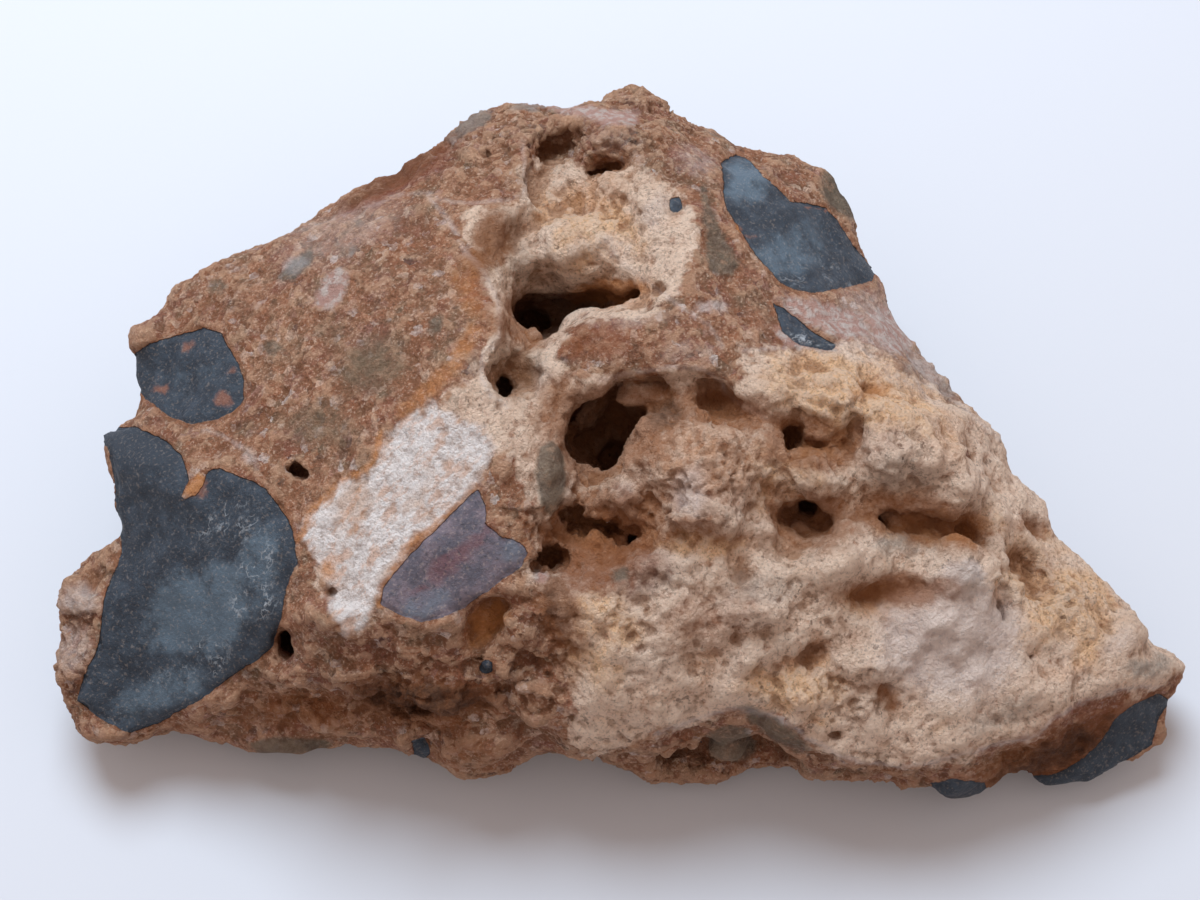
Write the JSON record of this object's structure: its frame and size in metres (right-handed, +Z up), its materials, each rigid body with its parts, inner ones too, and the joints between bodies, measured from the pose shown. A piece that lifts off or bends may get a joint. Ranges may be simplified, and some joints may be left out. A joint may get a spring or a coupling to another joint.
{
  "type": "dolomite conglomerate",
  "caption": "Broken hand specimen of dolomite conglomerate: dark pebbles in a red-brown matrix that opens into a tan, cavernous, knobbly face. Lies on a small flat spot.",
  "frame": {"origin": "on the table under the middle of the stone's bounding box, in the plane of the flat spot that it rests on", "axes": "+X along the stone's length, to the right as it is looked at; +Y away from the viewer, to the steep back; +Z up"},
  "size_m": [0.1202, 0.0797, 0.0374],
  "materials": {
    "conglomerate": "freshly broken and dull; matrix gritty, cavernous part crumbly, pebble faces smoother with a faint sheen"
  },
  "bodies": {
    "root": {"conglomerate": "conglomerate"}
  },
  "joints": []
}
